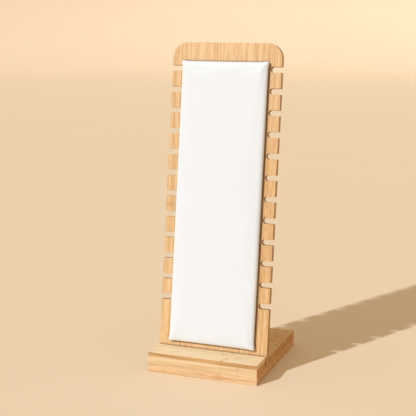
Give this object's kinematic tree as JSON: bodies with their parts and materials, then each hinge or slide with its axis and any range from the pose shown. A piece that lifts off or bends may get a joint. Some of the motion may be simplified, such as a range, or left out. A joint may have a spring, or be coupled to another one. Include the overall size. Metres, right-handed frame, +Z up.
{
  "type": "necklace display board",
  "caption": "Upright bamboo display board with notched sides and a padded leatherette front, leaning back in the slot of a flat bamboo base.",
  "frame": {"origin": "middle of the base's underside", "axes": "+X to the viewer's right, -Y towards the viewer (the padded side), +Z up"},
  "size_m": [0.113, 0.125, 0.317],
  "materials": {
    "bamboo_base": "satin",
    "bamboo_lip": "satin",
    "bamboo_board": "satin",
    "leatherette": "matte",
    "fibreboard": "matte",
    "foam": "matte",
    "adhesive": "matte"
  },
  "bodies": {
    "base": {"base_bottom_layer": "bamboo_base", "base_slot_layer": "bamboo_base", "base_front_lip": "bamboo_lip"},
    "display_board": {"backboard": "bamboo_board", "pad_backing": "fibreboard", "pad_foam": "foam", "pad_cover": "leatherette", "pad_adhesive": "adhesive"}
  },
  "joints": [
    {"name": "board_lift", "type": "slide", "parent": "base", "child": "display_board", "axis": [0, 0.1392, 0.9903], "range_m": [0, 0.06]}
  ]
}
